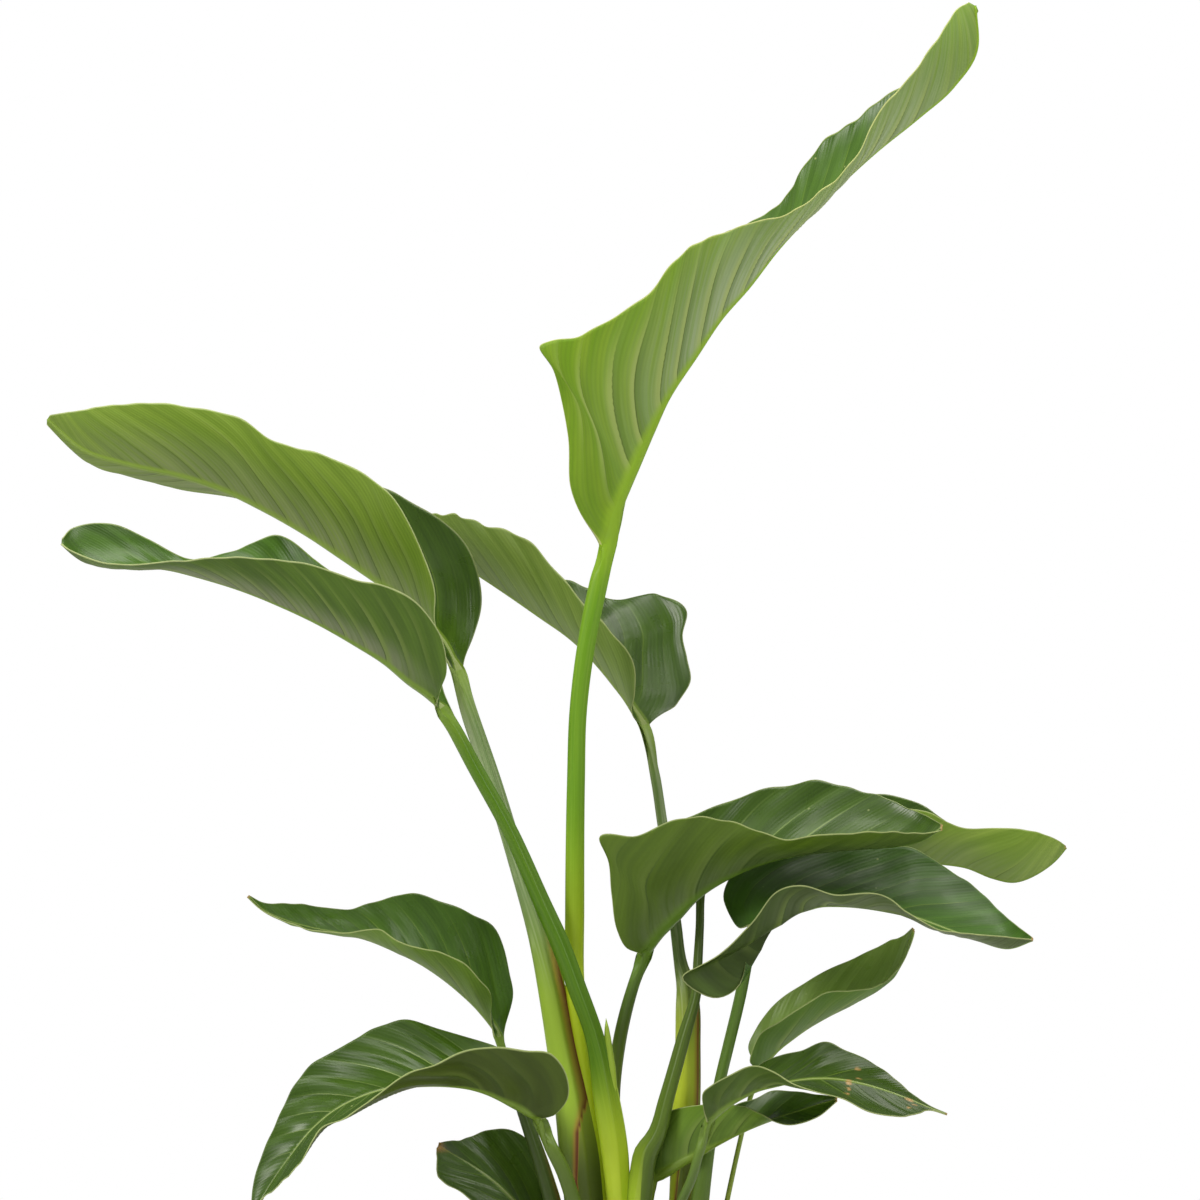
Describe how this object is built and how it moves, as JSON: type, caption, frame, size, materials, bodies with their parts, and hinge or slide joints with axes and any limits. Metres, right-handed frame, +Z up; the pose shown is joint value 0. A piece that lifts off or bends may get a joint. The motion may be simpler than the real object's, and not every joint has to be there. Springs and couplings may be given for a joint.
{
  "type": "potted bird of paradise",
  "caption": "Clump of long-stalked, paddle-shaped evergreen leaves with folded, waved blades, standing in a soil-filled round nursery pot.",
  "frame": {"origin": "middle of the underside of the pot's foot, on the floor that the pot stands on", "axes": "+Z up; -Y towards the side the plant is looked at from; +X to the right from there, the way the tallest leaf leans"},
  "size_m": [0.7676, 0.2946, 1.1842],
  "materials": {
    "leaf": "waxy, half gloss above and matt below",
    "soil": "rough potting soil",
    "pot": "moulded, matt"
  },
  "bodies": {
    "root": {"pot": "pot", "soil": "soil", "leaf_tall": "leaf", "leaf_upper_left": "leaf", "leaf_long_left": "leaf", "leaf_back": "leaf", "leaf_middle_right": "leaf", "leaf_far_right": "leaf", "leaf_lower_right": "leaf", "leaf_small_right": "leaf", "leaf_small_front": "leaf", "leaf_low_right": "leaf", "leaf_left": "leaf", "leaf_lower_left": "leaf", "leaf_lowest": "leaf"}
  },
  "joints": []
}
